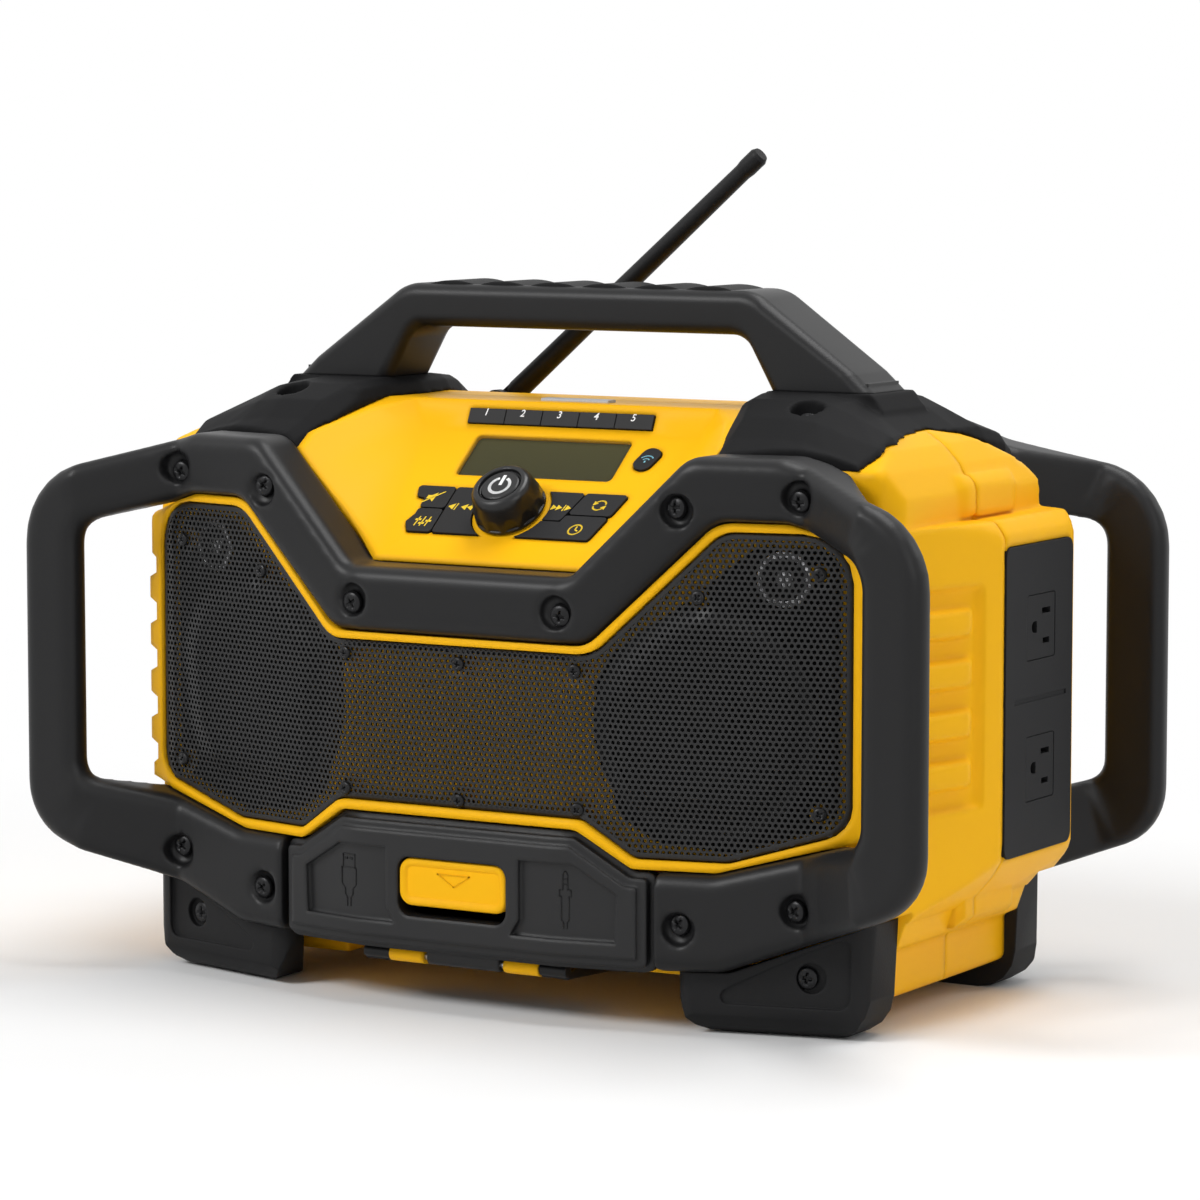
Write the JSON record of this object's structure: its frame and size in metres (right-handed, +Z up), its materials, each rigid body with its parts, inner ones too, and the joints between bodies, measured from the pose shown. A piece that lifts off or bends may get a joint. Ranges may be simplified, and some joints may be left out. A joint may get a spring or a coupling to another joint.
{
  "type": "jobsite radio",
  "caption": "Rugged jobsite radio with a roll cage, carry handle, wide perforated speaker front, control panel, storage door, swivelling antenna, side outlets and battery bay.",
  "frame": {"origin": "middle of the footprint on the ground, under the feet", "axes": "+Z up, the speaker front faces -Y, +X to the right of someone facing the front"},
  "size_m": [0.444, 0.246, 0.3635],
  "materials": {
    "yellow_housing": "satin, finely textured",
    "black_guard": "satin, finely textured",
    "foot_rubber": "matt",
    "grip_rubber": "matt",
    "black_screw": "satin black",
    "grille_paint": "satin black, perforated",
    "speaker_basket": "satin",
    "speaker_cone": "matt",
    "tweeter_trim": "satin",
    "button_rubber": "matt",
    "knob_plastic": "satin",
    "bare_steel": "bright",
    "display_glass": "clear",
    "display_cell": "glossy",
    "lamp_lens": "clear",
    "circuit_board": "solder resist",
    "transformer": "lacquered",
    "connector": "satin",
    "antenna_rubber": "satin"
  },
  "bodies": {
    "radio": {"front_housing": "yellow_housing", "rear_housing": "yellow_housing", "front_cage": "black_guard", "rear_cage": "black_guard", "carry_handle": "black_guard", "handle_grip": "grip_rubber", "shoulder_left": "black_guard", "shoulder_right": "black_guard", "front_foot_left": "foot_rubber", "front_foot_right": "foot_rubber", "rear_foot_left": "foot_rubber", "rear_foot_right": "foot_rubber", "cage_screws": "black_screw", "foot_screws": "black_screw", "shoulder_screws": "black_screw", "grille_screws": "black_screw", "speaker_grille": "grille_paint", "woofer_left": "speaker_basket", "woofer_right": "speaker_basket", "woofer_cone_left": "speaker_cone", "woofer_cone_right": "speaker_cone", "tweeter_left": "tweeter_trim", "tweeter_right": "tweeter_trim", "volume_encoder": "bare_steel", "display_lens": "display_glass", "display_module": "display_cell", "status_lens": "lamp_lens", "control_board": "circuit_board", "main_board": "circuit_board", "power_supply": "transformer", "door_hinge_pin": "bare_steel", "door_sill": "black_guard", "storage_bay": "black_guard", "usb_port": "connector", "aux_jack": "connector", "outlet_panel": "black_guard", "receptacle": "connector", "battery_bay": "black_guard", "power_inlet": "black_guard"},
    "preset_button_1": {"preset_button_1": "button_rubber"},
    "preset_button_2": {"preset_button_2": "button_rubber"},
    "preset_button_3": {"preset_button_3": "button_rubber"},
    "preset_button_4": {"preset_button_4": "button_rubber"},
    "preset_button_5": {"preset_button_5": "button_rubber"},
    "mute_button": {"mute_button": "button_rubber"},
    "tone_button": {"tone_button": "button_rubber"},
    "previous_button": {"previous_button": "button_rubber"},
    "next_button": {"next_button": "button_rubber"},
    "mode_button": {"mode_button": "button_rubber"},
    "clock_button": {"clock_button": "button_rubber"},
    "pairing_button": {"pairing_button": "button_rubber"},
    "volume_knob": {"volume_knob": "knob_plastic"},
    "power_button": {"power_button": "knob_plastic"},
    "storage_door": {"storage_door": "black_guard"},
    "door_latch": {"door_latch": "yellow_housing"},
    "antenna_swivel": {"antenna_base": "antenna_rubber"},
    "antenna_mast": {"antenna_mast": "antenna_rubber"},
    "battery_cover": {"battery_cover": "black_guard"},
    "battery_latch": {"battery_latch": "yellow_housing"}
  },
  "joints": [
    {"name": "door_hinge", "type": "hinge", "parent": "radio", "child": "storage_door", "pos_m": [0, -0.106, 0.022], "axis": [1, 0, 0], "range_deg": [0, 90]},
    {"name": "door_latch_slide", "type": "slide", "parent": "storage_door", "child": "door_latch", "axis": [0, 0, -1], "range_m": [0, 0.004], "stiffness_N_per_m": 300},
    {"name": "volume_turn", "type": "hinge", "parent": "radio", "child": "volume_knob", "pos_m": [0, -0.07388, 0.21649], "axis": [0, -0.6293, 0.7771], "continuous": true},
    {"name": "power_press", "type": "slide", "parent": "volume_knob", "child": "power_button", "axis": [0, 0.6293, -0.7771], "range_m": [0, 0.0008], "stiffness_N_per_m": 600},
    {"name": "mute_press", "type": "slide", "parent": "radio", "child": "mute_button", "axis": [0, 0.6293, -0.7771], "range_m": [0, 0.0012], "stiffness_N_per_m": 500},
    {"name": "tone_press", "type": "slide", "parent": "radio", "child": "tone_button", "axis": [0, 0.6293, -0.7771], "range_m": [0, 0.0012], "stiffness_N_per_m": 500},
    {"name": "previous_press", "type": "slide", "parent": "radio", "child": "previous_button", "axis": [0, 0.6293, -0.7771], "range_m": [0, 0.0012], "stiffness_N_per_m": 500},
    {"name": "next_press", "type": "slide", "parent": "radio", "child": "next_button", "axis": [0, 0.6293, -0.7771], "range_m": [0, 0.0012], "stiffness_N_per_m": 500},
    {"name": "mode_press", "type": "slide", "parent": "radio", "child": "mode_button", "axis": [0, 0.6293, -0.7771], "range_m": [0, 0.0012], "stiffness_N_per_m": 500},
    {"name": "clock_press", "type": "slide", "parent": "radio", "child": "clock_button", "axis": [0, 0.6293, -0.7771], "range_m": [0, 0.0012], "stiffness_N_per_m": 500},
    {"name": "pairing_press", "type": "slide", "parent": "radio", "child": "pairing_button", "axis": [0, 0.6293, -0.7771], "range_m": [0, 0.0012], "stiffness_N_per_m": 500},
    {"name": "preset_1_press", "type": "slide", "parent": "radio", "child": "preset_button_1", "axis": [0, 0.915, -0.4035], "range_m": [0, 0.0012], "stiffness_N_per_m": 500},
    {"name": "preset_2_press", "type": "slide", "parent": "radio", "child": "preset_button_2", "axis": [0, 0.915, -0.4035], "range_m": [0, 0.0012], "stiffness_N_per_m": 500},
    {"name": "preset_3_press", "type": "slide", "parent": "radio", "child": "preset_button_3", "axis": [0, 0.915, -0.4035], "range_m": [0, 0.0012], "stiffness_N_per_m": 500},
    {"name": "preset_4_press", "type": "slide", "parent": "radio", "child": "preset_button_4", "axis": [0, 0.915, -0.4035], "range_m": [0, 0.0012], "stiffness_N_per_m": 500},
    {"name": "preset_5_press", "type": "slide", "parent": "radio", "child": "preset_button_5", "axis": [0, 0.915, -0.4035], "range_m": [0, 0.0012], "stiffness_N_per_m": 500},
    {"name": "antenna_swivel", "type": "hinge", "parent": "radio", "child": "antenna_swivel", "pos_m": [-0.0706, 0.038, 0.242], "axis": [0, 0, 1], "range_deg": [0, 100]},
    {"name": "antenna_tilt", "type": "hinge", "parent": "antenna_swivel", "child": "antenna_mast", "pos_m": [-0.0706, 0.038, 0.248], "axis": [0, 1, 0], "range_deg": [-49.5, 28]},
    {"name": "battery_cover_hinge", "type": "hinge", "parent": "radio", "child": "battery_cover", "pos_m": [-0.11777, 0.09859, 0.093], "axis": [-0.9739, -0.2272, 0], "range_deg": [0, 100]},
    {"name": "battery_latch_slide", "type": "slide", "parent": "battery_cover", "child": "battery_latch", "axis": [0, 0, -1], "range_m": [0, 0.003], "stiffness_N_per_m": 300}
  ]
}
